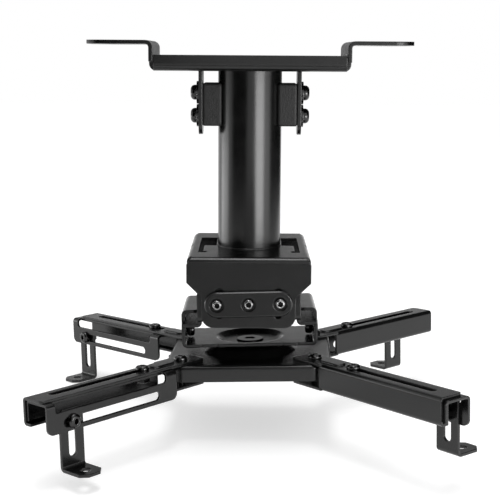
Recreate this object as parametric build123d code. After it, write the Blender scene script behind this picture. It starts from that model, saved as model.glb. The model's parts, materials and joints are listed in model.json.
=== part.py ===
from build123d import *
import os
from math import atan2, cos, degrees, radians, sin, sqrt

# Room left between neighbouring pieces
slide_gap = 0.1
hole_clearance = 0.3
thread_clearance = 0.1
pole_fit = 0.3

# Six millimetre fasteners
bolt_radius = 3.0
bolt_head_radius = 5.25
bolt_head_height = 3.3
bolt_socket_radius = 2.3
nut_half_width = 5.0
nut_height = 5.0
thin_nut_height = 2.0
head_round_share = 0.7
socket_depth_share = 0.6

# Ceiling plate
plate_thickness = 3.0
plate_bend = 2.5
wing_half_span = 125.0
wing_corner = 15.0
wing_slot_length = 20.0
wing_slot_width = 8.0
wing_slot_x = 104.0
wing_slot_y = 18.0
pan_half_width = 76.7
pan_half_depth = 36.0
pan_drop = 22.9
pan_flange_height = 12.0
pan_flange_corner = 2.0
pan_relief_height = 7.0
pan_corner_gap = 0.4

# Pole
pole_radius = 25.0
pole_wall = 2.5
pole_top = -12.1
pole_length = 149.0

# Side lugs that carry the pole
lug_inner_x = 37.0
lug_thickness = 3.0
lug_half_depth = 14.0
lug_length = 49.5
lug_corner = 9.0
pole_bolt_drop = 17.0
pole_bolt_pitch = 18.0
pole_bolt_head_radius = 5.9
pole_bolt_head_height = 4.8
pole_washer_radius = 8.8
pole_washer_thickness = 1.9
spacer_height = 33.2
spacer_inner_x = 21.5
spacer_round = 2.0

# Yoke under the pole
yoke_thickness = 3.0
yoke_bend = 1.5
yoke_half_width = 47.2
yoke_half_depth = 62.0
yoke_height = 54.1
yoke_shoulder_drop = 19.4
yoke_waist_drop = 30.6
yoke_waist_half_width = 35.7
yoke_bottom_round = 9.0
yoke_shoulder_round = 1.0
yoke_waist_round = 2.0
yoke_side_height = 14.0
yoke_corner_cut = 3.8
yoke_corner_cut_height = 5.5
yoke_side_half_depth = 55.0
yoke_nick_width = 6.0
yoke_nick_depth = 2.6
window_inner_x = 26.0
window_outer_x = 39.5
window_front_y = -6.0
window_rear_y = 33.0
slit_width = 4.0
slit_front_y = -38.0
slit_eye_radius = 3.6

# Roll joint between yoke and tilt frame
roll_axis_drop = 35.1
roll_screw_radius = 2.5
roll_screw_spacing = 24.0
roll_slot_half_angle = 21.0
roll_slot_width = 6.4
roll_head_radius = 4.25
roll_head_height = 4.2
roll_socket_radius = 2.3
roll_nut_half_width = 4.0
roll_nut_height = 4.0
cover_half_width = 33.5
cover_height = 19.6
cover_thickness = 4.0
cover_bevel = 1.0
cover_recess_radius = 5.5
cover_recess_depth = 3.0

# Tilt bracket, a channel open at the top
bracket_thickness = 2.5
bracket_bend = 1.6
bracket_half_width = 53.4
bracket_half_depth = 31.0
bracket_height = 30.45
bracket_top_drop = 11.95
lip_inner_x = 40.3
lip_corner = 4.0
floor_nick_width = 2.0
floor_nick_depth = 0.8
floor_nick_places = (26.0, 38.0)
dish_rim_radius = 27.0
dish_floor_radius = 21.5
dish_depth = 3.5
dish_seam = 3.0

# Tilt frame that hangs in the yoke and carries the bracket
frame_thickness = 2.5
frame_bend = 1.5
frame_side_gap = 0.8
frame_plate_drop = 12.3
frame_flange_rise = 11.5
frame_flange_corner = 6.0
side_plate_drop = 8.7
side_plate_half_depth = 38.0
tab_gap = 0.3
tab_outer_x = 53.0
ear_gap = 0.2
ear_half_width = 9.0
ear_bevel = 0.8
pitch_axis_height = 5.8
pitch_limit = 10.0
ear_floor_gap = 0.5

# Swivel joint between bracket and hub
swivel_radius = 5.0
swivel_head_radius = 11.0
swivel_head_height = 1.2
swivel_socket_radius = 4.6
swivel_washer_radius = 12.0
swivel_washer_thickness = 1.5
swivel_nut_half_width = 8.5
swivel_nut_height = 8.0
swivel_tail = 2.0

# Hub tray
hub_thickness = 2.0
hub_half_width = 65.0
hub_half_depth = 58.0
hub_corner = 16.0
hub_height = 12.5
hub_bend = 1.0
boss_height = 5.3
boss_top_radius = 30.0
boss_foot_radius = 38.0

# Arm channel, measured from its pivot bolt
pivot_x = 52.6
pivot_y = 43.5
arm_thickness = 2.0
arm_bend = 1.0
arm_half_width = 10.7
arm_height = 20.5
arm_length = 142.0
arm_wall_start = 16.5
arm_tongue = 16.0
arm_tongue_corner = 3.0
arm_lip_width = 7.5
bead_start = 8.5
bead_length = 24.0
bead_width = 11.0
bead_height = 1.4
bead_edge = 1.0
clamp_place = 40.0
extension_travel = 84.0

# Extension rail nested in the arm channel
rail_thickness = 2.0
rail_bend = 1.2
rail_start = 19.0
rail_length = 122.0
rail_outer_n = 15.2
rail_wall_height = 22.4
rail_wall_round = 5.0
rail_slot_depth = 15.9
rail_slot_inner_margin = 17.7
rail_window_height = 7.6
rail_window_round = 2.5

# Foot bracket
foot_thickness = 2.2
foot_bend = 1.5
foot_half_width = 10.0
foot_leg_top = 6.0
foot_leg_bottom = 38.5
foot_leg_corner = 4.0
foot_base_length = 25.0
foot_base_chamfer = 5.0
foot_hole_radius = 3.75
foot_hole_place = 15.0
foot_slot_width = 7.0
foot_slot_floor = 9.5
foot_slot_top_room = 0.5
foot_window_gap = 0.4

# How far rails are pulled out, where each foot stands on its rail and how far it is raised
front_right_pull = 4.0
rear_left_pull = 8.0
front_left_foot_place = 99.6
front_right_foot_place = 104.7
rear_left_foot_place = 104.3
rear_right_foot_place = 94.6
front_left_foot_raise = 3.0
front_right_foot_raise = 8.7
rear_right_foot_raise = 3.0

# Arms: name, x side, y side, angle from the x axis, rail pulled out, foot place, foot raised
arms = (
    ("front_left", -1, -1, 50.0, 0.0, front_left_foot_place, front_left_foot_raise),
    ("front_right", 1, -1, 49.9, front_right_pull, front_right_foot_place, front_right_foot_raise),
    ("rear_left", -1, 1, 42.0, rear_left_pull, rear_left_foot_place, 0.0),
    ("rear_right", 1, 1, 44.0, 0.0, rear_right_foot_place, rear_right_foot_raise),
)

# Joint angles at rest, in degrees
roll_rest = -1.7
pitch_rest = -1.5
swivel_rest = -2.6

# Heights stacked down from the ceiling
pan_floor_z = -pan_drop
pole_bottom = pole_top - pole_length
yoke_top = pole_bottom
yoke_bottom = yoke_top - yoke_height
roll_axis_z = yoke_top - roll_axis_drop
bracket_top = roll_axis_z - bracket_top_drop
bracket_bottom = bracket_top - bracket_height
bracket_floor = bracket_bottom + bracket_thickness
pitch_axis_z = bracket_floor + pitch_axis_height
frame_plate_top = roll_axis_z - frame_plate_drop
side_plate_top = frame_plate_top - side_plate_drop
side_plate_bottom = side_plate_top - frame_thickness
dish_floor = bracket_floor - dish_depth
boss_top = dish_floor - bracket_thickness - slide_gap
hub_top = boss_top - boss_height
hub_bottom = hub_top - hub_height
arm_under = hub_top + slide_gap
arm_top = arm_under + arm_thickness
arm_bottom = arm_top - arm_height
lip_top = arm_bottom + arm_thickness
rail_top = arm_under - slide_gap
rail_under = rail_top - rail_thickness
rail_bottom = rail_top - rail_wall_height
foot_bolt_z = rail_top - rail_slot_depth
foot_top = foot_bolt_z + foot_leg_top
foot_bottom = foot_bolt_z - foot_leg_bottom

# Depths and widths that follow from the neighbours
wall_inner_x = bracket_half_width - bracket_thickness
frame_half_width = lip_inner_x - frame_side_gap
yoke_inner_y = yoke_half_depth - yoke_thickness
frame_outer_y = yoke_inner_y - slide_gap
frame_inner_y = frame_outer_y - frame_thickness
side_plate_x = wall_inner_x - ear_gap
ear_inner_x = side_plate_x - frame_thickness
tab_rise = side_plate_top - pitch_axis_z
wall_swing_y = (bracket_half_depth + tab_rise * sin(radians(pitch_limit))) / cos(radians(pitch_limit))
tab_front_y = wall_swing_y + tab_gap
cover_back_y = yoke_half_depth + slide_gap
cover_face_y = cover_back_y + cover_thickness
recess_floor_y = cover_face_y - cover_recess_depth
rail_inner_n = arm_half_width - arm_thickness - slide_gap
rail_slot_face_n = rail_outer_n - rail_thickness
foot_outer_n = rail_slot_face_n - slide_gap
foot_inner_n = foot_outer_n - foot_thickness
slot_half = bolt_radius + hole_clearance
rail_slot_first = rail_slot_inner_margin + slot_half
rail_slot_last = max(arm[5] for arm in arms)
foot_room = foot_half_width + foot_window_gap

# Places of the parts that hang below each joint
rolled = Pos(0, 0, roll_axis_z) * Rot(0, roll_rest, 0) * Pos(0, 0, -roll_axis_z)
pitched = rolled * Pos(0, 0, pitch_axis_z) * Rot(pitch_rest, 0, 0) * Pos(0, 0, -pitch_axis_z)
swivelled = pitched * Rot(0, 0, swivel_rest)


def folded(path, thickness, bend):
    """Closed outline of a folded sheet laid on the left of its path."""
    near = [Vector(*point) for point in path]
    steps = [(after - before).normalized() for before, after in zip(near, near[1:])]
    sides = [Vector(-step.Y, step.X) for step in steps]
    far = [near[0] + sides[0] * thickness]
    near_radii = []
    far_radii = []
    for corner, before, after in zip(near[1:], sides, sides[1:]):
        far.append(corner + (before + after) * (thickness / (1 + before.dot(after))))
        turns_left = before.cross(after).Z > 0
        near_radii.append(bend + thickness if turns_left else bend)
        far_radii.append(bend if turns_left else bend + thickness)
    far.append(near[-1] + sides[-1] * thickness)
    radii = [0, *near_radii, 0, 0, *reversed(far_radii), 0]
    return make_face(FilletPolyline(*near, *reversed(far), radius=radii, close=True))


def mirrored(points):
    """A left half made from the right half of a path, joined to it."""
    return [*points, *[(-x, z) for x, z in reversed(points)]]


def across(sketch, half_width):
    """Outline drawn in the side view and pushed both ways along x."""
    return extrude(Plane.YZ * sketch, half_width, both=True)


def along(sketch, half_depth):
    """Outline drawn in the front view and pushed both ways along y."""
    return extrude(Plane.XZ * sketch, half_depth, both=True)


def block(x0, x1, y0, y1, z0, z1):
    """Box between two corners."""
    size = Box(x1 - x0, y1 - y0, z1 - z0)
    return Pos((x0 + x1) / 2, (y0 + y1) / 2, (z0 + z1) / 2) * size


def rod(centre, axis, radius, length):
    """Round bar centred on a point."""
    return Plane(centre, z_dir=axis) * Cylinder(radius, length)


def button_bolt(radius, length, head_radius, head_height, socket_radius):
    """Round-headed bolt, head above its seat at zero and shank below."""
    head = Pos(0, 0, head_height / 2) * Cylinder(head_radius, head_height)
    head = fillet(head.edges().group_by(Axis.Z)[-1], head_height * head_round_share)
    socket_depth = head_height * socket_depth_share
    socket = extrude(RegularPolygon(socket_radius, 6), socket_depth)
    shank = Pos(0, 0, -length / 2) * Cylinder(radius, length)
    return head + shank - Pos(0, 0, head_height - socket_depth) * socket


def nut(half_width, height, bolt):
    """Six-sided nut standing on its seat at zero."""
    face = RegularPolygon(half_width, 6, major_radius=False)
    return extrude(face - Circle(bolt + thread_clearance), height)


def facing(x, y, z, direction):
    """Place with its own z axis along the direction."""
    return Plane((x, y, z), z_dir=direction)


def save(name, *shapes, place=Pos(0, 0, 0)):
    """One file for a piece or for a set of like pieces."""
    solids = [place * solid for shape in shapes for solid in shape.solids()]
    whole = solids[0] if len(solids) == 1 else Compound(solids)
    export_step(whole, f"parts/{name}.step")


def ceiling_plate():
    """Hat section with wings, front and rear flanges and a pole hole."""
    inner_x = pan_half_width - plate_thickness
    inner_floor = pan_floor_z + plate_thickness
    hat = folded(
        mirrored([(wing_half_span, 0), (inner_x, 0), (inner_x, inner_floor)]),
        plate_thickness,
        plate_bend,
    )
    flange_top = pan_floor_z + pan_flange_height
    tray = folded(
        mirrored([(pan_half_depth, flange_top), (pan_half_depth, pan_floor_z)])[::-1],
        plate_thickness,
        plate_bend,
    )
    bend_room = plate_bend + plate_thickness + pan_corner_gap
    corner_x = pan_half_width + plate_bend
    corner_y = pan_half_depth - bend_room
    wings = along(hat, pan_half_depth)
    outline = RectangleRounded(2 * wing_half_span, 2 * pan_half_depth, wing_corner)
    wings &= extrude(outline, pan_drop, both=True)
    relief_top = pan_floor_z + pan_relief_height
    for side in (-1, 1):
        near, far = sorted((side * corner_y, side * 2 * pan_half_depth))
        wings -= block(-corner_x, corner_x, near, far, -2 * pan_drop, relief_top)
    flanges = across(tray, inner_x - pan_corner_gap)
    flanges = fillet(flanges.edges().filter_by(Axis.Y).group_by(Axis.Z)[-1], pan_flange_corner)
    envelope = RectangleRounded(2 * pan_half_width, 2 * pan_drop, plate_bend + plate_thickness)
    plate = wings + (flanges & along(envelope, pan_half_depth))
    plate -= rod((0, 0, pan_floor_z), (0, 0, 1), pole_radius + pole_fit, pan_drop)
    slot = extrude(SlotOverall(wing_slot_length, wing_slot_width), pan_drop, both=True)
    for x in (-wing_slot_x, wing_slot_x):
        for y in (-wing_slot_y, wing_slot_y):
            plate -= Pos(x, y, 0) * slot
    return plate


def pole_bolt_heights():
    """Two rows of bolts down each lug."""
    first = pan_floor_z - pole_bolt_drop
    return (first, first - pole_bolt_pitch)


def drill_pole_bolts(piece):
    """Clearance holes for the pole bolts through both sides."""
    for z in pole_bolt_heights():
        piece -= rod((0, 0, z), (1, 0, 0), bolt_radius + hole_clearance, 4 * lug_inner_x)
    return piece


def pole_lug(side):
    """Flat hanging plate with a rounded lower end."""
    near, far = sorted((side * lug_inner_x, side * (lug_inner_x + lug_thickness)))
    lug = block(near, far, -lug_half_depth, lug_half_depth, pan_floor_z - lug_length, pan_floor_z)
    lug = fillet(lug.edges().filter_by(Axis.X).group_by(Axis.Z)[0], lug_corner)
    return drill_pole_bolts(lug)


def spacer(side):
    """Plastic saddle that fills the space between lug and pole."""
    middle = sum(pole_bolt_heights()) / 2
    near, far = sorted((side * spacer_inner_x, side * lug_inner_x))
    half = spacer_height / 2
    saddle = block(near, far, -lug_half_depth, lug_half_depth, middle - half, middle + half)
    saddle = fillet(saddle.edges(), spacer_round)
    saddle -= rod((0, 0, middle), (0, 0, 1), pole_radius + slide_gap, 2 * spacer_height)
    return drill_pole_bolts(saddle)


def pole():
    """Round tube, bored for the pole bolts."""
    middle = (pole_top + pole_bottom) / 2
    tube = rod((0, 0, middle), (0, 0, 1), pole_radius, pole_length)
    tube -= rod((0, 0, middle), (0, 0, 1), pole_radius - pole_wall, pole_length)
    return drill_pole_bolts(tube)


def pole_fasteners():
    """Bolts, washers and inner nuts on both sides of the pole."""
    nut_corner = nut_half_width / cos(radians(30))
    nut_seat = sqrt((pole_radius - pole_wall) ** 2 - nut_corner ** 2) - slide_gap
    washer_seat = lug_inner_x + lug_thickness
    head_seat = washer_seat + pole_washer_thickness
    reach = head_seat - nut_seat + nut_height
    bolt = button_bolt(
        bolt_radius, reach, pole_bolt_head_radius, pole_bolt_head_height, bolt_socket_radius
    )
    ring = Circle(pole_washer_radius) - Circle(bolt_radius + hole_clearance)
    washer = extrude(ring, pole_washer_thickness)
    inner_nut = nut(nut_half_width, nut_height, bolt_radius)
    bolts = []
    washers = []
    nuts = []
    for side in (-1, 1):
        for z in pole_bolt_heights():
            bolts.append(facing(side * head_seat, 0, z, (side, 0, 0)) * bolt)
            washers.append(facing(side * washer_seat, 0, z, (side, 0, 0)) * washer)
            nuts.append(facing(side * nut_seat, 0, z, (-side, 0, 0)) * inner_nut)
    return bolts, washers, nuts


def roll_places():
    """Three screw places across the roll joint."""
    return (-roll_screw_spacing, 0, roll_screw_spacing)


def yoke_window(side):
    """Opening beside the pole with a slit that runs forward to a round eye."""
    low = yoke_top - 2 * yoke_thickness
    high = yoke_top + yoke_thickness
    outer = side * window_outer_x
    near, far = sorted((side * window_inner_x, outer))
    hole = block(near, far, window_front_y, window_rear_y, low, high)
    near, far = sorted((outer - side * slit_width, outer))
    hole += block(near, far, slit_front_y, window_rear_y, low, high)
    eye_x = outer - side * slit_eye_radius
    eye_y = slit_front_y + slit_eye_radius
    return hole + rod((eye_x, eye_y, yoke_top), (0, 0, 1), slit_eye_radius, 4 * yoke_thickness)


def yoke():
    """Folded cap with long front and rear flanges and short sides."""
    legs = folded(
        mirrored([(yoke_half_depth, yoke_bottom), (yoke_half_depth, yoke_top)]),
        yoke_thickness,
        yoke_bend,
    )
    sides = folded(
        mirrored([(yoke_half_width, yoke_top - yoke_side_height), (yoke_half_width, yoke_top)]),
        yoke_thickness,
        yoke_bend,
    )
    shape = mirrored(
        [
            (yoke_half_width - yoke_corner_cut, yoke_top),
            (yoke_half_width, yoke_top - yoke_corner_cut_height),
            (yoke_half_width, yoke_top - yoke_shoulder_drop),
            (yoke_waist_half_width, yoke_top - yoke_waist_drop),
            (yoke_waist_half_width, yoke_bottom),
        ]
    )
    rounds = [0, 0, yoke_shoulder_round, yoke_waist_round, yoke_bottom_round]
    radii = [*rounds, *reversed(rounds)]
    front = make_face(FilletPolyline(*shape, radius=radii, close=True))
    cap = across(legs, yoke_half_width) & along(front, 2 * yoke_half_depth)
    cap += along(sides, yoke_side_half_depth)
    for side in (-1, 1):
        cap -= yoke_window(side)
        near, far = sorted(
            (side * (yoke_half_width - yoke_nick_depth), side * 2 * yoke_half_width)
        )
        half = yoke_nick_width / 2
        cap -= block(near, far, -half, half, yoke_top - yoke_corner_cut_height, yoke_top + yoke_thickness)
    for turn in (0, 180):
        arc = CenterArc((0, 0), roll_screw_spacing, turn - roll_slot_half_angle, 2 * roll_slot_half_angle)
        slot = Pos(0, roll_axis_z) * SlotArc(arc, roll_slot_width)
        cap -= along(slot, 2 * yoke_half_depth)
    hole = roll_screw_radius + hole_clearance
    return cap - rod((0, 0, roll_axis_z), (0, 1, 0), hole, 4 * yoke_half_depth)


def drill_roll_screws(piece):
    """Clearance holes for the three screws on each roll joint."""
    for x in roll_places():
        hole = roll_screw_radius + hole_clearance
        piece -= rod((x, 0, roll_axis_z), (0, 1, 0), hole, 4 * yoke_half_depth)
    return piece


def roll_cover(side):
    """Bevelled pill plate with three recesses."""
    pill = SlotOverall(2 * cover_half_width, cover_height)
    body = extrude(pill, cover_thickness)
    body = chamfer(body.edges().group_by(Axis.Z)[-1], cover_bevel)
    for x in roll_places():
        recess = Pos(x, 0, cover_thickness) * Cylinder(cover_recess_radius, 2 * cover_recess_depth)
        body -= recess
    place = Plane((0, side * cover_back_y, roll_axis_z), x_dir=(1, 0, 0), z_dir=(0, side, 0))
    return drill_roll_screws(place * body)


def roll_fasteners():
    """Socket screws from outside and nuts inside the tilt frame."""
    reach = recess_floor_y - frame_inner_y + roll_nut_height
    screw = button_bolt(
        roll_screw_radius, reach, roll_head_radius, roll_head_height, roll_socket_radius
    )
    inner_nut = nut(roll_nut_half_width, roll_nut_height, roll_screw_radius)
    screws = []
    nuts = []
    for side in (-1, 1):
        for x in roll_places():
            screws.append(facing(x, side * recess_floor_y, roll_axis_z, (0, side, 0)) * screw)
            nuts.append(facing(x, side * frame_inner_y, roll_axis_z, (0, -side, 0)) * inner_nut)
    return screws, nuts


def drill_pitch_bolts(piece):
    """Clearance holes on the pitch axis."""
    hole = bolt_radius + hole_clearance
    return piece - rod((0, 0, pitch_axis_z), (1, 0, 0), hole, 4 * bracket_half_width)


def tilt_frame():
    """Folded frame: end flanges, plate, stepped sides and hanging ears."""
    ends = folded(
        mirrored(
            [(frame_outer_y, roll_axis_z + frame_flange_rise),
             (frame_outer_y, frame_plate_top - frame_thickness)]
        )[::-1],
        frame_thickness,
        frame_bend,
    )
    frame = across(ends, frame_half_width)
    top_edges = frame.edges().filter_by(Axis.Y).group_by(Axis.Z)[-1]
    frame = fillet(top_edges, frame_flange_corner)
    steps = folded(
        mirrored(
            [(side_plate_x, side_plate_top),
             (frame_half_width, side_plate_top),
             (frame_half_width, frame_plate_top)]
        ),
        frame_thickness,
        frame_bend,
    )
    frame += along(steps, side_plate_half_depth)
    ear_round = pitch_axis_height - ear_floor_gap
    for side in (-1, 1):
        rim = Pos(0, pitch_axis_z) * Circle(ear_round)
        root = Line((-ear_half_width, side_plate_top), (ear_half_width, side_plate_top))
        ear = make_hull([*rim.edges(), *root.edges()])
        hanger = extrude(Plane.YZ * ear, frame_thickness)
        hanger = Pos(min(side * ear_inner_x, side * side_plate_x), 0, 0) * hanger
        sheet_sides = hanger.edges().group_by(Axis.X)
        outer_edges = sheet_sides[-1] if side > 0 else sheet_sides[0]
        frame += chamfer(outer_edges.sort_by(Axis.Z)[:-1], ear_bevel)
        near, far = sorted((side * ear_inner_x, side * tab_outer_x))
        for end in (-1, 1):
            front, back = sorted((end * tab_front_y, end * side_plate_half_depth))
            frame += block(near, far, front, back, side_plate_bottom, side_plate_top)
    return drill_pitch_bolts(drill_roll_screws(frame))


def tilt_bracket():
    """Channel with inward lips and a dished floor."""
    section = folded(
        mirrored(
            [(lip_inner_x, bracket_top),
             (bracket_half_width, bracket_top),
             (bracket_half_width, bracket_bottom)]
        )[::-1],
        bracket_thickness,
        bracket_bend,
    )
    channel = along(section, bracket_half_depth)
    uprights = channel.edges().filter_by(Axis.Z).filter_by_position(Axis.Z, bracket_floor, 0)
    tips = [edge for edge in uprights if abs(edge.center().X) < lip_inner_x + bracket_thickness]
    channel = fillet(tips, lip_corner)
    shaft = swivel_radius + hole_clearance
    dish = folded(
        [(dish_rim_radius + dish_seam, bracket_floor),
         (dish_rim_radius, bracket_floor),
         (dish_floor_radius, dish_floor),
         (shaft, dish_floor)],
        bracket_thickness,
        bracket_bend,
    )
    channel -= rod((0, 0, bracket_floor), (0, 0, 1), dish_rim_radius + dish_seam, bracket_height)
    channel += revolve(Plane.XZ * dish, Axis.Z)
    for x in floor_nick_places:
        for side in (-1, 1):
            half = floor_nick_width / 2
            edge = bracket_half_depth - floor_nick_depth
            nick = block(side * x - half, side * x + half, edge, 2 * edge, bracket_bottom, bracket_floor)
            channel -= nick
            channel -= Rot(0, 0, 180) * nick
    return drill_pitch_bolts(channel)


def pitch_fasteners():
    """Bolts from inside the ears and thin nuts outside the bracket."""
    reach = bracket_half_width + thin_nut_height - ear_inner_x
    bolt = button_bolt(bolt_radius, reach, bolt_head_radius, bolt_head_height, bolt_socket_radius)
    outer_nut = nut(nut_half_width, thin_nut_height, bolt_radius)
    bolts = []
    nuts = []
    for side in (-1, 1):
        bolts.append(facing(side * ear_inner_x, 0, pitch_axis_z, (-side, 0, 0)) * bolt)
        nuts.append(facing(side * bracket_half_width, 0, pitch_axis_z, (side, 0, 0)) * outer_nut)
    return bolts, nuts


def swivel_fasteners():
    """Large round-headed bolt with washer and nut under the hub."""
    washer_seat = boss_top - hub_thickness - slide_gap
    nut_seat = washer_seat - swivel_washer_thickness
    reach = dish_floor - nut_seat + swivel_nut_height + swivel_tail
    bolt = button_bolt(
        swivel_radius, reach, swivel_head_radius, swivel_head_height, swivel_socket_radius
    )
    ring = Circle(swivel_washer_radius) - Circle(swivel_radius + thread_clearance)
    washer = extrude(ring, -swivel_washer_thickness)
    lock = nut(swivel_nut_half_width, swivel_nut_height, swivel_radius)
    return (
        Pos(0, 0, dish_floor) * bolt,
        Pos(0, 0, washer_seat) * washer,
        facing(0, 0, nut_seat, (0, 0, -1)) * lock,
    )


def pivots():
    """Arm pivot places in the hub."""
    return [(side_x * pivot_x, side_y * pivot_y) for _, side_x, side_y, *_ in arms]


def hub():
    """Shallow tray, flange down, with a pressed boss in the middle."""
    outline = RectangleRounded(2 * hub_half_width, 2 * hub_half_depth, hub_corner)
    inside = RectangleRounded(
        2 * (hub_half_width - hub_thickness),
        2 * (hub_half_depth - hub_thickness),
        hub_corner - hub_thickness,
    )
    tray = Pos(0, 0, hub_bottom) * extrude(outline, hub_height)
    tray = fillet(tray.edges().group_by(Axis.Z)[-1], hub_bend + hub_thickness)
    hollow = Pos(0, 0, hub_bottom) * extrude(inside, hub_height - hub_thickness)
    hollow = fillet(hollow.edges().group_by(Axis.Z)[-1], hub_bend)
    tray -= hollow
    shaft = swivel_radius + hole_clearance
    boss = folded(
        [(boss_foot_radius + dish_seam, hub_top),
         (boss_foot_radius, hub_top),
         (boss_top_radius, boss_top),
         (shaft, boss_top)],
        hub_thickness,
        hub_bend,
    )
    tray -= rod((0, 0, hub_top), (0, 0, 1), boss_foot_radius + dish_seam, hub_height)
    tray += revolve(Plane.XZ * boss, Axis.Z)
    for x, y in pivots():
        tray -= rod((x, y, hub_top), (0, 0, 1), bolt_radius + hole_clearance, hub_height)
    return tray


def pivot_fasteners():
    """Arm pivot bolts that pass both tongues, and the nuts under the hub sheet."""
    reach = arm_top - arm_bottom
    bolt = button_bolt(bolt_radius, reach, bolt_head_radius, bolt_head_height, bolt_socket_radius)
    lower_nut = nut(nut_half_width, nut_height, bolt_radius)
    bolts = [Pos(x, y, arm_top) * bolt for x, y in pivots()]
    under_hub = hub_top - hub_thickness
    nuts = [facing(x, y, under_hub, (0, 0, -1)) * lower_nut for x, y in pivots()]
    return bolts, nuts


def arm_channel():
    """Channel with a tongue above and below the hub, along its own x axis."""
    section = folded(
        [(arm_half_width, arm_top),
         (-arm_half_width, arm_top),
         (-arm_half_width, arm_bottom),
         (arm_lip_width - arm_half_width, arm_bottom)],
        arm_thickness,
        arm_bend,
    )
    channel = Pos(arm_wall_start, 0, 0) * extrude(Plane.YZ * section, arm_length - arm_wall_start)
    corner = channel.edges().filter_by(Axis.Z).group_by(Axis.X)[-1].sort_by(Axis.Y)[-1]
    channel = fillet(corner, arm_tongue_corner)
    tongue_length = arm_wall_start + arm_tongue + arm_thickness
    for z in (arm_under, arm_bottom):
        tongue = block(
            -arm_tongue, tongue_length - arm_tongue, -arm_half_width, arm_half_width, z, z + arm_thickness
        )
        ends = tongue.edges().filter_by(Axis.Z).group_by(Axis.X)[0]
        channel += fillet(ends, arm_tongue_corner)
    bead = extrude(SlotOverall(bead_length, bead_width), bead_height)
    bead = fillet(bead.edges().group_by(Axis.Z)[-1], bead_edge)
    channel += Pos(bead_start + bead_length / 2, 0, arm_top) * bead
    slot_width = 2 * slot_half
    slot = extrude(SlotOverall(extension_travel + slot_width, slot_width), arm_thickness * 2, both=True)
    channel -= Pos(clamp_place + extension_travel / 2, 0, arm_under) * slot
    return channel - rod((0, 0, arm_under), (0, 0, 1), slot_half, 4 * arm_height)


def extension_rail():
    """Inverted channel with a clamp hole, a side slot and a top window."""
    section = folded(
        [(rail_outer_n, rail_bottom),
         (rail_outer_n, rail_top),
         (-rail_inner_n, rail_top),
         (-rail_inner_n, lip_top + arm_bend + slide_gap)],
        rail_thickness,
        rail_bend,
    )
    rail = Pos(rail_start, 0, 0) * extrude(Plane.YZ * section, rail_length)
    low_edges = rail.edges().filter_by(Axis.Y).group_by(Axis.Z)[0]
    rail = fillet(low_edges, rail_wall_round)
    slot_width = 2 * slot_half
    slot_length = rail_slot_last - rail_slot_first + slot_width
    slot_middle = rail_start + (rail_slot_first + rail_slot_last) / 2
    slot = Plane.XZ * (Pos(slot_middle, foot_bolt_z) * SlotOverall(slot_length, slot_width))
    wall_middle = rail_outer_n - rail_thickness / 2
    rail -= Pos(0, wall_middle, 0) * extrude(slot, rail_thickness, both=True)
    window = block(
        rail_start + rail_slot_first - foot_room,
        rail_start + rail_slot_last + foot_room,
        foot_inner_n - foot_window_gap,
        2 * rail_outer_n,
        rail_top - rail_window_height,
        rail_top + rail_thickness,
    )
    window = fillet(window.edges().filter_by(Axis.Y).group_by(Axis.Z)[0], rail_window_round)
    rail -= window
    return rail - rod((clamp_place, 0, rail_top), (0, 0, 1), slot_half, 4 * rail_thickness)


def clamp_fasteners():
    """Bolt through the arm slot and its nut under the rail."""
    reach = arm_top - rail_under + nut_height
    bolt = button_bolt(bolt_radius, reach, bolt_head_radius, bolt_head_height, bolt_socket_radius)
    lower_nut = nut(nut_half_width, nut_height, bolt_radius)
    return (
        Pos(clamp_place, 0, arm_top) * bolt,
        facing(clamp_place, 0, rail_under, (0, 0, -1)) * lower_nut,
    )


def foot():
    """Slotted leg with a base flange, centred on its bolt."""
    section = folded(
        [(foot_inner_n, foot_top),
         (foot_inner_n, foot_bottom),
         (foot_inner_n + foot_base_length, foot_bottom)],
        foot_thickness,
        foot_bend,
    )
    leg = across(section, foot_half_width)
    leg = fillet(leg.edges().filter_by(Axis.Y).group_by(Axis.Z)[-1], foot_leg_corner)
    leg = chamfer(leg.edges().filter_by(Axis.Z).group_by(Axis.Y)[-1], foot_base_chamfer)
    slot_top = foot_bolt_z + foot_slot_width / 2 + foot_slot_top_room
    slot_low = foot_bottom + foot_slot_floor
    slot = SlotOverall(slot_top - slot_low, foot_slot_width, rotation=90)
    cut = extrude(Plane.XZ * (Pos(0, (slot_top + slot_low) / 2) * slot), foot_thickness, both=True)
    leg -= Pos(0, foot_inner_n + foot_thickness / 2, 0) * cut
    hole_n = foot_inner_n + foot_hole_place
    return leg - rod((0, hole_n, foot_bottom), (0, 0, 1), foot_hole_radius, 4 * foot_thickness)


def foot_fasteners():
    """Bolt from outside the rail wall and its nut behind the leg."""
    nut_face = foot_inner_n - slide_gap
    reach = rail_outer_n - nut_face + nut_height
    bolt = button_bolt(bolt_radius, reach, bolt_head_radius, bolt_head_height, bolt_socket_radius)
    inner_nut = nut(nut_half_width, nut_height, bolt_radius)
    return (
        facing(0, rail_outer_n, foot_bolt_z, (0, 1, 0)) * bolt,
        facing(0, nut_face, foot_bolt_z, (0, -1, 0)) * inner_nut,
    )


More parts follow.
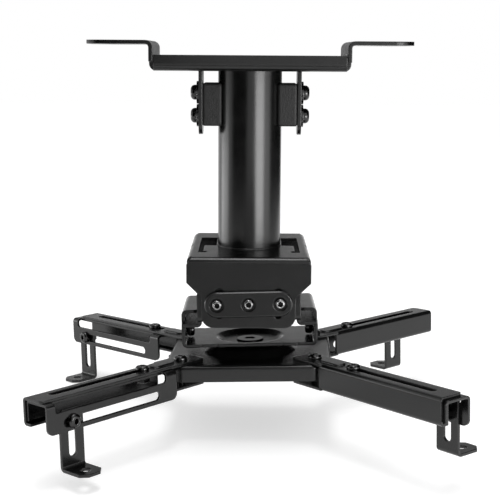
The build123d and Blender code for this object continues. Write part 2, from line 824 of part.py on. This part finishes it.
def save_arm(name, side_x, side_y, angle, pulled_out, foot_place, foot_raise):
    """One arm with its rail, clamp and foot, turned to its place."""
    turn = degrees(atan2(side_y * sin(radians(angle)), side_x * cos(radians(angle))))
    base = Pos(side_x * pivot_x, side_y * pivot_y, 0) * Rot(0, 0, turn)
    drawn = base * Pos(pulled_out, 0, 0)
    at_foot = drawn * Pos(rail_start + foot_place, 0, 0)
    clamp_bolt, clamp_nut = clamp_fasteners()
    foot_bolt, foot_nut = foot_fasteners()
    save(f"arm_{name}", base * arm_channel(), place=swivelled)
    save(f"rail_{name}", drawn * extension_rail(), place=swivelled)
    save(f"clamp_bolt_{name}", drawn * clamp_bolt, place=swivelled)
    save(f"clamp_nut_{name}", drawn * clamp_nut, place=swivelled)
    save(f"foot_{name}", at_foot * Pos(0, 0, foot_raise) * foot(), place=swivelled)
    save(f"foot_bolt_{name}", at_foot * foot_bolt, place=swivelled)
    save(f"foot_nut_{name}", at_foot * foot_nut, place=swivelled)


os.makedirs("parts", exist_ok=True)

# Parts fixed to the ceiling
save("ceiling_plate", ceiling_plate())
save("pole_lug_left", pole_lug(-1))
save("pole_lug_right", pole_lug(1))
save("spacer_left", spacer(-1))
save("spacer_right", spacer(1))
save("pole", pole())
for label, group in zip(("bolts", "washers", "nuts"), pole_fasteners()):
    save(f"pole_{label}", *group)
save("yoke", yoke())

# Roll joint
save("tilt_frame", tilt_frame(), place=rolled)
save("roll_cover_front", roll_cover(-1), place=rolled)
save("roll_cover_rear", roll_cover(1), place=rolled)
for label, group in zip(("screws", "nuts"), roll_fasteners()):
    save(f"roll_{label}", *group, place=rolled)

# Pitch and swivel joints
save("tilt_bracket", tilt_bracket(), place=pitched)
for label, group in zip(("bolts", "nuts"), pitch_fasteners()):
    save(f"pitch_{label}", *group, place=pitched)
for label, piece in zip(("bolt", "washer", "nut"), swivel_fasteners()):
    save(f"swivel_{label}", piece, place=pitched)

# Hub and arms
save("hub", hub(), place=swivelled)
for label, group in zip(("bolts", "nuts"), pivot_fasteners()):
    save(f"arm_pivot_{label}", *group, place=swivelled)
for arm in arms:
    save_arm(*arm)
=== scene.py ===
import json
import math

import bmesh
import bpy
from mathutils import Matrix, Vector


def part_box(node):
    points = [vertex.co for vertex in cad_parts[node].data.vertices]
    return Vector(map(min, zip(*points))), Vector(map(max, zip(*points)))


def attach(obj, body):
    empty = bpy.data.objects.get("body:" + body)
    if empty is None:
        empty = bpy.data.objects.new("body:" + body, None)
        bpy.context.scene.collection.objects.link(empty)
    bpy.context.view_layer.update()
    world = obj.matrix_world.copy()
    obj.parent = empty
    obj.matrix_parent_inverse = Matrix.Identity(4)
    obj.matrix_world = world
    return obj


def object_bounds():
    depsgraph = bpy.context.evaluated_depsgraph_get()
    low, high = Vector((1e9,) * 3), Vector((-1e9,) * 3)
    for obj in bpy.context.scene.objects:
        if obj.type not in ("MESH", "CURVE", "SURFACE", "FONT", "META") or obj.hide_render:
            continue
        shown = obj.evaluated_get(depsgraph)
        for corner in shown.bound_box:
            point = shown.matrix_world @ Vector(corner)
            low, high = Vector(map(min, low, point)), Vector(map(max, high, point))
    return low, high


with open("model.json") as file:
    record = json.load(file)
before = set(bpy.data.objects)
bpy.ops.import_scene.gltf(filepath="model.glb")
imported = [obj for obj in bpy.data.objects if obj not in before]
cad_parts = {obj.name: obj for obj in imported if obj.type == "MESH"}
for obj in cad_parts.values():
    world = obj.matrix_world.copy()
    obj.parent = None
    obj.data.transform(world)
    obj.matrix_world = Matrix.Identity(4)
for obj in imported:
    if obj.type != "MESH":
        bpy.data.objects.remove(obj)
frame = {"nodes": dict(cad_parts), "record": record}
cad_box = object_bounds()

# Camera that matches the photo: place in metres, angles in degrees, lens and sensor in millimetres
CAMERA_PLACE = Vector((0.00078, -0.89245, -0.01041))
CAMERA_PITCH_DOWN = 9.87
CAMERA_ROLL = 0.38
CAMERA_LENS = 80.85
CAMERA_SENSOR = 36.0

# Studio, in metres
AIM = Vector((0.0, 0.0, -0.15))
FLOOR_SIZE = 12.0
FLOOR_COLOUR = (0.85, 0.85, 0.85, 1)
WORLD_COLOUR = (1, 1, 1, 1)
WORLD_LIGHT = 0.55

# Glow that lifts the floor to white, rising between two distances from the object
FLOOR_GLOW_NEAR = 0.40
FLOOR_GLOW_FAR = 0.55
FLOOR_GLOW_REACH = (0.3, 1.8)

# name: bearing in degrees (left is negative), distance, height of its middle, width, height, watts
LAMPS = {
    "key_strip": (36.0, 0.85, -0.15, 0.46, 0.30, 3.7),
    "key_edge": (48.0, 0.88, -0.15, 1.05, 0.30, 1.65),
    "side_strip": (-102.0, 0.85, -0.21, 0.60, 0.18, 1.4),
    "overhead": (180.0, 0.10, 1.25, 0.34, 1.4, 10.0),
}

# name: bearing, distance, height of its middle, width, height, grey
CARDS = {
    "front_card": (0.0, 0.36, -0.225, 0.30, 0.15, 0.72),
    "left_card": (-38.0, 0.70, 0.15, 0.86, 0.90, 0.01),
    "right_card": (112.0, 0.80, 0.15, 1.45, 0.90, 0.02),
    "back_card": (180.0, 1.10, 0.33, 2.40, 0.90, 0.38),
}

# Weld bead: radius and length of a ripple step in metres, ripple as a share of the radius
BEAD_THICKNESS = 0.0009
BEAD_RIPPLE = 0.12
BEAD_STEP = 0.0022
BEAD_STEPS_PER_RIPPLE = 4
BEAD_SIDES = 8

# Shares of a texture's range over which a finish changes
NOISE_MIDDLE = (0.3, 0.7)
MOTTLE_RANGE = (0.35, 0.65)
EDGE_RANGE = (0.75, 0.98)
# Edge wear, and on fasteners a painted glint, fades in over this share of the slow noise
WEAR_AND_GLINT_RANGE = 0.2
# Painted shade in sockets and hollows darkens over this range of the occlusion
CAVITY_SHADE_RANGE = (0.45, 0.85)

# Settings that all finishes share
GRAIN_DETAIL = 3
MOTTLE_DETAIL = 4
BUMP_STRENGTH = 0.6
EDGE_SAMPLES = 6
CAVITY_SHADE_SAMPLES = 8

BLACK = (0, 0, 0, 1)
WHITE = (1, 1, 1, 1)
# Colour of the painted shade in sockets and hollows
PAINTED_SHADE_COLOUR = (0.02, 0.02, 0.02, 1)
COAT_TINT = (0.96, 1.0, 0.99)
NO_TINT = (1.0, 1.0, 1.0)

# Nodes whose finish is a variant of their slot
NODE_FINISH = {"roll_screws": "bright_socket"}


class Nodes:
    """A node tree with short calls for adding and linking nodes."""

    def __init__(self, owner):
        owner.use_nodes = True
        self.tree = owner.node_tree
        self.tree.nodes.clear()

    def add(self, kind, **settings):
        node = self.tree.nodes.new(kind)
        for name, value in settings.items():
            setattr(node, name, value)
        return node

    def link(self, source, target):
        self.tree.links.new(source, target)


def seen_directly(nodes):
    """One for camera, glossy and transmission rays, nought for the rest."""
    path = nodes.add("ShaderNodeLightPath")
    first = nodes.add("ShaderNodeMath", operation="MAXIMUM")
    both = nodes.add("ShaderNodeMath", operation="MAXIMUM")
    nodes.link(path.outputs["Is Camera Ray"], first.inputs[0])
    nodes.link(path.outputs["Is Glossy Ray"], first.inputs[1])
    nodes.link(first.outputs[0], both.inputs[0])
    nodes.link(path.outputs["Is Transmission Ray"], both.inputs[1])
    return both.outputs[0]


def ramp(nodes, factor, low, high, reach):
    """Colour that runs from low to high as the factor goes through its reach."""
    node = nodes.add("ShaderNodeValToRGB")
    for element, colour, position in zip(node.color_ramp.elements, (low, high), reach):
        element.position = position
        element.color = colour
    nodes.link(factor, node.inputs["Fac"])
    return node.outputs["Color"]


def stretched(nodes, value, reach, low, high):
    """Number that runs from low to high as the value goes through its reach."""
    node = nodes.add("ShaderNodeMapRange")
    node.inputs["From Min"].default_value = reach[0]
    node.inputs["From Max"].default_value = reach[1]
    node.inputs["To Min"].default_value = low
    node.inputs["To Max"].default_value = high
    nodes.link(value, node.inputs["Value"])
    return node.outputs["Result"]


def noise(nodes, coords, scale, detail):
    """Noise in the object's own metres."""
    node = nodes.add("ShaderNodeTexNoise")
    node.inputs["Scale"].default_value = scale
    node.inputs["Detail"].default_value = detail
    nodes.link(coords, node.inputs["Vector"])
    return node.outputs["Fac"]


def grey(level, tint=NO_TINT):
    """Linear colour of one level with a slight tint."""
    return (level * tint[0], level * tint[1], level * tint[2], 1)


def painted_cavity_shade(nodes, colour, reach):
    """Painted shade: colour that goes to black inside sockets and other small hollows of the piece."""
    shade = nodes.add("ShaderNodeAmbientOcclusion", samples=CAVITY_SHADE_SAMPLES, only_local=True)
    shade.inputs["Distance"].default_value = reach
    dark = nodes.add("ShaderNodeMix", data_type="RGBA", blend_type="MULTIPLY")
    dark.inputs["Factor"].default_value = 1.0
    nodes.link(colour, dark.inputs["A"])
    nodes.link(ramp(nodes, shade.outputs["AO"], PAINTED_SHADE_COLOUR, WHITE, CAVITY_SHADE_RANGE), dark.inputs["B"])
    return dark.outputs["Result"]


def edge_wear_and_glint(nodes, rounded_normal, slow, wear_and_glint_from):
    """Share of edge wear on coat and plastic, and of painted glint on fastener rims: only on edges, and
    there only in patches of the slow noise.
    """
    flat = nodes.add("ShaderNodeNewGeometry")
    turn = nodes.add("ShaderNodeVectorMath", operation="DOT_PRODUCT")
    nodes.link(rounded_normal, turn.inputs[0])
    nodes.link(flat.outputs["Normal"], turn.inputs[1])
    at_edge = ramp(nodes, turn.outputs["Value"], WHITE, BLACK, EDGE_RANGE)
    patch = ramp(nodes, slow, BLACK, WHITE, (wear_and_glint_from, wear_and_glint_from + WEAR_AND_GLINT_RANGE))
    wear_and_glint = nodes.add("ShaderNodeMath", operation="MULTIPLY")
    nodes.link(at_edge, wear_and_glint.inputs[0])
    nodes.link(patch, wear_and_glint.inputs[1])
    return wear_and_glint.outputs[0]


def finish_material(name, colours, wear_and_glint_colour, rough, metallic, specular, grain, mottle, relief, edge,
                    wear_and_glint_from=0.42, cavity_shade_reach=None):
    """Finish with fine grain, slow mottling, rounded edges and a little edge wear, which on fasteners is
    a painted glint, with painted shade in hollows when a reach is given.
    """
    material = bpy.data.materials.new(name)
    nodes = Nodes(material)
    coords = nodes.add("ShaderNodeTexCoord").outputs["Object"]
    fine = noise(nodes, coords, grain, GRAIN_DETAIL)
    slow = noise(nodes, coords, mottle, MOTTLE_DETAIL)
    rounded = nodes.add("ShaderNodeBevel", samples=EDGE_SAMPLES)
    rounded.inputs["Radius"].default_value = edge
    colour = nodes.add("ShaderNodeMix", data_type="RGBA")
    nodes.link(edge_wear_and_glint(nodes, rounded.outputs["Normal"], slow, wear_and_glint_from), colour.inputs["Factor"])
    nodes.link(ramp(nodes, slow, colours[0], colours[1], MOTTLE_RANGE), colour.inputs["A"])
    # Lighter edge colour: wear on coat and plastic, painted glint on fasteners
    colour.inputs["B"].default_value = wear_and_glint_colour
    base = colour.outputs["Result"]
    # Painted shade in hollows, where a reach is given
    if cavity_shade_reach:
        base = painted_cavity_shade(nodes, base, cavity_shade_reach)
    bump = nodes.add("ShaderNodeBump")
    bump.inputs["Strength"].default_value = BUMP_STRENGTH
    bump.inputs["Distance"].default_value = relief
    nodes.link(fine, bump.inputs["Height"])
    nodes.link(rounded.outputs["Normal"], bump.inputs["Normal"])
    shader = nodes.add("ShaderNodeBsdfPrincipled")
    shader.inputs["Metallic"].default_value = metallic
    shader.inputs["Specular IOR Level"].default_value = specular
    nodes.link(base, shader.inputs["Base Color"])
    nodes.link(stretched(nodes, slow, NOISE_MIDDLE, rough[0], rough[1]), shader.inputs["Roughness"])
    nodes.link(bump.outputs["Normal"], shader.inputs["Normal"])
    output = nodes.add("ShaderNodeOutputMaterial")
    nodes.link(shader.outputs["BSDF"], output.inputs["Surface"])
    return material


# Finishes: grain and mottle are noise scales per metre, relief, edge and the reach of the painted cavity
# shade are in metres
materials = {
    "black_powder_coat": finish_material(
        "black_powder_coat",
        colours=(grey(0.0022, COAT_TINT), grey(0.0036, COAT_TINT)),
        wear_and_glint_colour=grey(0.045),
        rough=(0.19, 0.25),
        metallic=0.0,
        specular=0.42,
        grain=1500.0,
        mottle=55.0,
        relief=0.00006,
        edge=0.0011,
    ),
    "black_fastener": finish_material(
        "black_fastener",
        colours=(grey(0.034), grey(0.060)),
        # Light edge colour: painted glint on the head rims
        wear_and_glint_colour=grey(0.45),
        rough=(0.12, 0.20),
        metallic=1.0,
        specular=0.5,
        grain=2200.0,
        mottle=260.0,
        relief=0.00002,
        edge=0.0004,
        wear_and_glint_from=0.35,
        # Painted shade in the sockets reaches this far
        cavity_shade_reach=0.004,
    ),
    "bright_socket": finish_material(
        "bright_socket",
        colours=(grey(0.16), grey(0.26)),
        # Light edge colour: painted glint on the head rims
        wear_and_glint_colour=grey(0.70),
        rough=(0.16, 0.26),
        metallic=1.0,
        specular=0.5,
        grain=2200.0,
        mottle=260.0,
        relief=0.00002,
        edge=0.0009,
        wear_and_glint_from=0.25,
        # Painted shade in the sockets reaches this far
        cavity_shade_reach=0.004,
    ),
    "black_plastic": finish_material(
        "black_plastic",
        colours=(grey(0.005), grey(0.012)),
        wear_and_glint_colour=grey(0.030),
        rough=(0.42, 0.60),
        metallic=0.0,
        specular=0.35,
        grain=800.0,
        mottle=230.0,
        relief=0.00045,
        edge=0.0018,
    ),
}


def paint_cad_nodes():
    """Each CAD node takes its own finish, or that of its slot in the record."""
    for part in frame["record"]["subparts"]:
        node = frame["nodes"][part["node"]]
        node.data.materials.clear()
        finish = NODE_FINISH.get(part["node"], part["material_slot"])
        node.data.materials.append(materials[finish])


def add_object(name, data):
    """New object in the scene, named as its data."""
    thing = bpy.data.objects.new(name, data)
    bpy.context.scene.collection.objects.link(thing)
    return thing


def bead_section(centre, outward, index):
    """Points round the bead at one step, which swells and shrinks with the ripple."""
    swell = 1 + BEAD_RIPPLE * math.sin(2 * math.pi * index / BEAD_STEPS_PER_RIPPLE)
    points = []
    for side in range(BEAD_SIDES):
        angle = 2 * math.pi * side / BEAD_SIDES
        lift = Vector((0, 0, math.sin(angle)))
        points.append(centre + (outward * math.cos(angle) + lift) * BEAD_THICKNESS * swell)
    return points


def tube_mesh(name, sections):
    """Smooth tube through the sections, closed into a ring."""
    mesh = bmesh.new()
    loops = [[mesh.verts.new(point) for point in section] for section in sections]
    for near, far in zip(loops, loops[1:] + loops[:1]):
        for i in range(BEAD_SIDES):
            j = (i + 1) % BEAD_SIDES
            mesh.faces.new((near[i], near[j], far[j], far[i]))
    bmesh.ops.recalc_face_normals(mesh, faces=mesh.faces)
    data = bpy.data.meshes.new(name)
    mesh.to_mesh(data)
    mesh.free()
    data.shade_smooth()
    return data


def pole_weld():
    """Bead where the pole stands on the yoke."""
    low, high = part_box("pole")
    radius = (high.x - low.x) / 2
    ripples = int(2 * math.pi * radius / BEAD_STEP) // BEAD_STEPS_PER_RIPPLE
    steps = ripples * BEAD_STEPS_PER_RIPPLE
    sections = []
    for index in range(steps):
        angle = 2 * math.pi * index / steps
        outward = Vector((math.cos(angle), math.sin(angle), 0))
        centre = outward * radius + Vector((0, 0, low.z))
        sections.append(bead_section(centre, outward, index))
    data = tube_mesh("pole_weld", sections)
    data.materials.append(materials["black_powder_coat"])
    piece = add_object("pole_weld", data)
    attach(piece, "ceiling_base")


def flat_mesh(name, width, height):
    """Rectangle about the origin, facing up."""
    mesh = bpy.data.meshes.new(name)
    corners = [(-1, -1), (1, -1), (1, 1), (-1, 1)]
    mesh.from_pydata([(x * width / 2, y * height / 2, 0) for x, y in corners], [], [(0, 1, 2, 3)])
    return mesh


def floor_material():
    """Matt and pale, with a glow in direct view that lifts it to white."""
    material = bpy.data.materials.new("floor")
    nodes = Nodes(material)
    matt = nodes.add("ShaderNodeBsdfDiffuse")
    matt.inputs["Color"].default_value = FLOOR_COLOUR
    place = nodes.add("ShaderNodeNewGeometry").outputs["Position"]
    distance = nodes.add("ShaderNodeVectorMath", operation="LENGTH")
    nodes.link(place, distance.inputs[0])
    rise = stretched(nodes, distance.outputs["Value"], FLOOR_GLOW_REACH, FLOOR_GLOW_NEAR, FLOOR_GLOW_FAR)
    level = nodes.add("ShaderNodeMath", operation="MULTIPLY")
    nodes.link(seen_directly(nodes), level.inputs[0])
    nodes.link(rise, level.inputs[1])
    glow = nodes.add("ShaderNodeEmission")
    nodes.link(level.outputs[0], glow.inputs["Strength"])
    both = nodes.add("ShaderNodeAddShader")
    nodes.link(matt.outputs[0], both.inputs[0])
    nodes.link(glow.outputs[0], both.inputs[1])
    output = nodes.add("ShaderNodeOutputMaterial")
    nodes.link(both.outputs[0], output.inputs["Surface"])
    return material


def make_floor():
    """Pale floor that keeps the shadow and shows as white."""
    mesh = flat_mesh("floor", FLOOR_SIZE, FLOOR_SIZE)
    mesh.materials.append(floor_material())
    floor = add_object("floor", mesh)
    floor.location.z = cad_box[0].z


def make_world():
    """White background with a softer light for matt surfaces."""
    world = bpy.data.worlds.new("studio")
    bpy.context.scene.world = world
    nodes = Nodes(world)
    soft = nodes.add("ShaderNodeBackground")
    soft.inputs["Strength"].default_value = WORLD_LIGHT
    white = nodes.add("ShaderNodeBackground")
    mix = nodes.add("ShaderNodeMixShader")
    for background in (soft, white):
        background.inputs["Color"].default_value = WORLD_COLOUR
    nodes.link(seen_directly(nodes), mix.inputs["Fac"])
    nodes.link(soft.outputs[0], mix.inputs[1])
    nodes.link(white.outputs[0], mix.inputs[2])
    output = nodes.add("ShaderNodeOutputWorld")
    nodes.link(mix.outputs[0], output.inputs["Surface"])


def face_object(thing, bearing, distance, height):
    """Puts a lamp or card round the object and turns it to face the middle."""
    angle = math.radians(bearing)
    place = Vector((distance * math.sin(angle), -distance * math.cos(angle), height))
    thing.location = place
    thing.rotation_euler = (AIM - place).to_track_quat("-Z", "Y").to_euler()


def make_lamps():
    """Soft boxes that face the object."""
    for name, (bearing, distance, rise, width, height, watts) in LAMPS.items():
        light = bpy.data.lights.new(name, "AREA")
        light.shape = "RECTANGLE"
        light.size = width
        light.size_y = height
        light.energy = watts
        lamp = add_object(name, light)
        lamp.visible_camera = False
        face_object(lamp, bearing, distance, rise)


def make_cards():
    """Grey cards that only reflections show, as a studio uses round black objects."""
    for name, (bearing, distance, rise, width, height, level) in CARDS.items():
        material = bpy.data.materials.new(name)
        nodes = Nodes(material)
        matt = nodes.add("ShaderNodeBsdfDiffuse")
        matt.inputs["Color"].default_value = grey(level)
        output = nodes.add("ShaderNodeOutputMaterial")
        nodes.link(matt.outputs[0], output.inputs["Surface"])
        mesh = flat_mesh(name, width, height)
        mesh.materials.append(material)
        card = add_object(name, mesh)
        card.visible_camera = False
        card.visible_diffuse = False
        card.visible_shadow = False
        face_object(card, bearing, distance, rise)


def make_camera():
    """Camera at the photo's place and angle."""
    down = math.radians(CAMERA_PITCH_DOWN)
    roll = math.radians(CAMERA_ROLL)
    forward = Vector((0, math.cos(down), -math.sin(down)))
    side = Vector((1, 0, 0))
    up = side.cross(forward)
    right = side * math.cos(roll) + up * math.sin(roll)
    top = up * math.cos(roll) - side * math.sin(roll)
    turn = Matrix((right, top, -forward)).transposed()
    data = bpy.data.cameras.new("camera")
    data.lens = CAMERA_LENS
    data.sensor_width = CAMERA_SENSOR
    camera = add_object("camera", data)
    camera.matrix_world = Matrix.Translation(CAMERA_PLACE) @ turn.to_4x4()
    bpy.context.scene.camera = camera


paint_cad_nodes()
pole_weld()
make_floor()
make_world()
make_lamps()
make_cards()
make_camera()
bpy.context.scene.view_settings.view_transform = "Standard"
